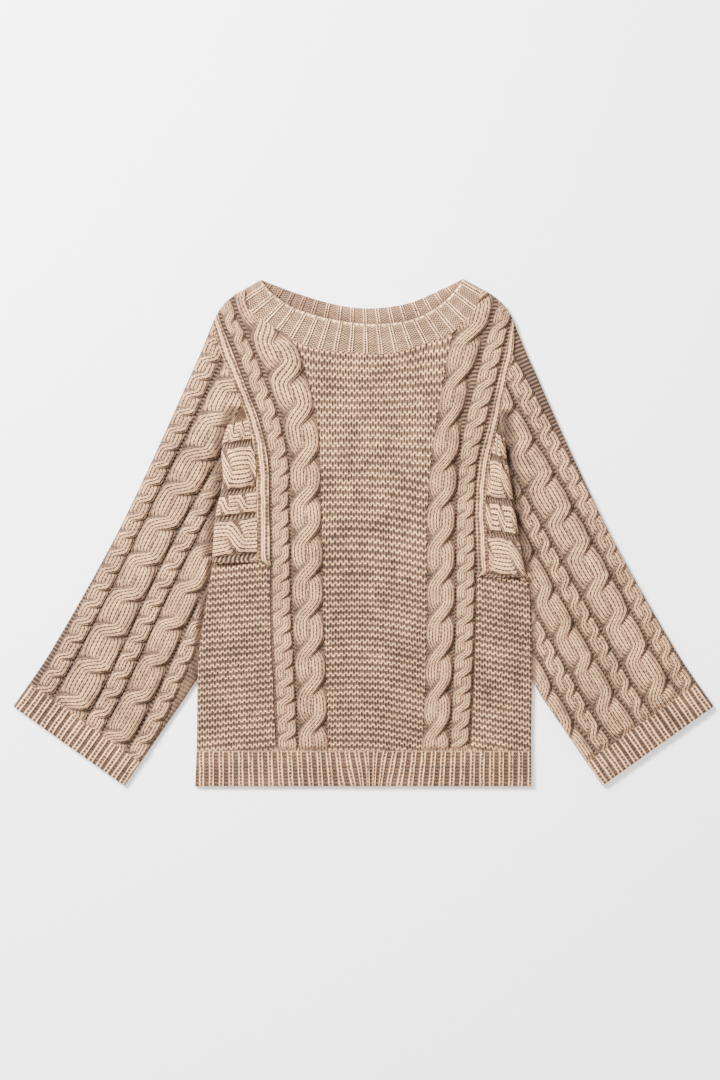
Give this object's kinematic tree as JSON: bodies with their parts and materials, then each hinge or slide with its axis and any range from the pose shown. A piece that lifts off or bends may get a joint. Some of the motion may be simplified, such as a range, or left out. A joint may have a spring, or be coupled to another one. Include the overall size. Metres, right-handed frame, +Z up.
{
  "type": "cable knit sweater",
  "caption": "Long-sleeved chunky cable knit sweater laid flat on its back, with ribbed neck, hem and cuffs.",
  "frame": {"origin": "centre of the underside's bounds, on the surface that the sweater lies on", "axes": "+X to the wearer's left, along the spread sleeves; +Y from the hem to the neck; +Z up, out of the front"},
  "size_m": [0.9438, 0.684, 0.0191],
  "materials": {
    "body_knit": "matt chunky knit",
    "sleeve_knit": "matt chunky knit",
    "neck_knit": "matt chunky knit"
  },
  "bodies": {
    "root": {"front_panel": "body_knit", "back_panel": "body_knit", "front_hem_rib": "body_knit", "back_hem_rib": "body_knit", "neckband": "neck_knit", "right_sleeve": "sleeve_knit", "right_cuff": "sleeve_knit", "left_sleeve": "sleeve_knit", "left_cuff": "sleeve_knit"}
  },
  "joints": []
}
